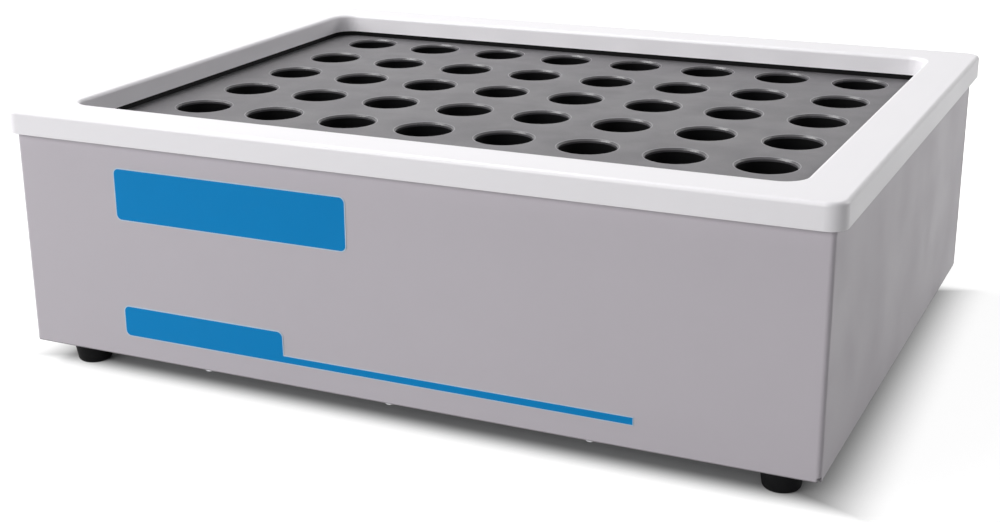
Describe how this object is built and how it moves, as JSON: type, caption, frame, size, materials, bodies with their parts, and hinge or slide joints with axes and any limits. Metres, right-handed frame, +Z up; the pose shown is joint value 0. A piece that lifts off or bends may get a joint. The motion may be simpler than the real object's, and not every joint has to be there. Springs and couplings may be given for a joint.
{
  "type": "block digester",
  "caption": "Bench block digester: low grey steel case on rubber feet, white moulded rim, dark heated block with a grid of round tube wells, rear mains inlet, fuse drawer and switch",
  "frame": {"origin": "on the bench surface under the middle of the rim", "axes": "+X to the right as seen from the front, +Y to the rear, +Z up; the front faces -Y"},
  "size_m": [0.456, 0.351, 0.149],
  "materials": {
    "rim_moulding": "satin",
    "seal_rubber": "matte",
    "block_coating": "satin",
    "case_paint": "satin",
    "plated_steel": "satin",
    "foot_rubber": "matte",
    "screw_steel": "polished",
    "insulation_board": "matte",
    "heater_silicone": "matte",
    "clamp_aluminium": "satin",
    "sensor_steel": "satin",
    "cutout_plastic": "matte",
    "relay_plastic": "matte",
    "sink_aluminium": "satin",
    "board_laminate": "satin",
    "spacer_brass": "satin",
    "component_plastic": "matte",
    "terminal_plastic": "matte",
    "stud_brass": "satin",
    "inlet_plastic": "satin",
    "blade_brass": "satin",
    "drawer_plastic": "satin",
    "fuse_glass": "gloss",
    "switch_plastic": "satin",
    "rocker_plastic": "gloss",
    "port_steel": "satin",
    "pin_brass": "polished",
    "label_film": "gloss",
    "mains_sleeve": "satin",
    "heater_sleeve": "satin",
    "sensor_sleeve": "satin"
  },
  "bodies": {
    "case": {"top_rim": "rim_moulding", "rim_seal": "seal_rubber", "heating_block": "block_coating", "body_shell": "case_paint", "top_frame": "plated_steel", "rear_panel": "case_paint", "base_plate": "plated_steel", "block_tray": "plated_steel", "foot_front_left": "foot_rubber", "foot_front_right": "foot_rubber", "foot_rear_left": "foot_rubber", "foot_rear_right": "foot_rubber", "foot_screws": "screw_steel", "foot_nuts": "screw_steel", "rim_screws": "screw_steel", "rear_panel_screws": "screw_steel", "base_screws": "screw_steel", "tray_screws": "screw_steel", "insulation_front": "insulation_board", "insulation_rear": "insulation_board", "insulation_left": "insulation_board", "insulation_right": "insulation_board", "insulation_under": "insulation_board", "heater_mat_left": "heater_silicone", "heater_mat_right": "heater_silicone", "heater_clamp_plate": "clamp_aluminium", "clamp_screws": "screw_steel", "block_standoffs": "plated_steel", "standoff_screws": "screw_steel", "block_sensor": "sensor_steel", "thermal_cutout": "cutout_plastic", "solid_state_relay": "relay_plastic", "relay_heatsink": "sink_aluminium", "control_board": "board_laminate", "board_spacers": "spacer_brass", "board_parts": "component_plastic", "terminal_block": "terminal_plastic", "earth_stud": "stud_brass", "mains_inlet": "inlet_plastic", "inlet_pins": "blade_brass", "switch_frame": "switch_plastic", "controller_port": "port_steel", "port_pins": "pin_brass", "port_screws": "screw_steel", "upper_label": "label_film", "lower_label": "label_film", "mains_leads": "mains_sleeve", "heater_leads": "heater_sleeve", "sensor_lead": "sensor_sleeve"},
    "fuse_drawer": {"fuse_drawer": "drawer_plastic", "fuses": "fuse_glass"},
    "power_rocker": {"power_rocker": "rocker_plastic"}
  },
  "joints": [
    {"name": "fuse_drawer_slide", "type": "slide", "parent": "case", "child": "fuse_drawer", "axis": [0, 1, 0], "range_m": [0, 0.022]},
    {"name": "power_rocker_pivot", "type": "hinge", "parent": "case", "child": "power_rocker", "pos_m": [0.084, 0.1685, 0.0355], "axis": [1, 0, 0], "range_deg": [0, 20]}
  ]
}
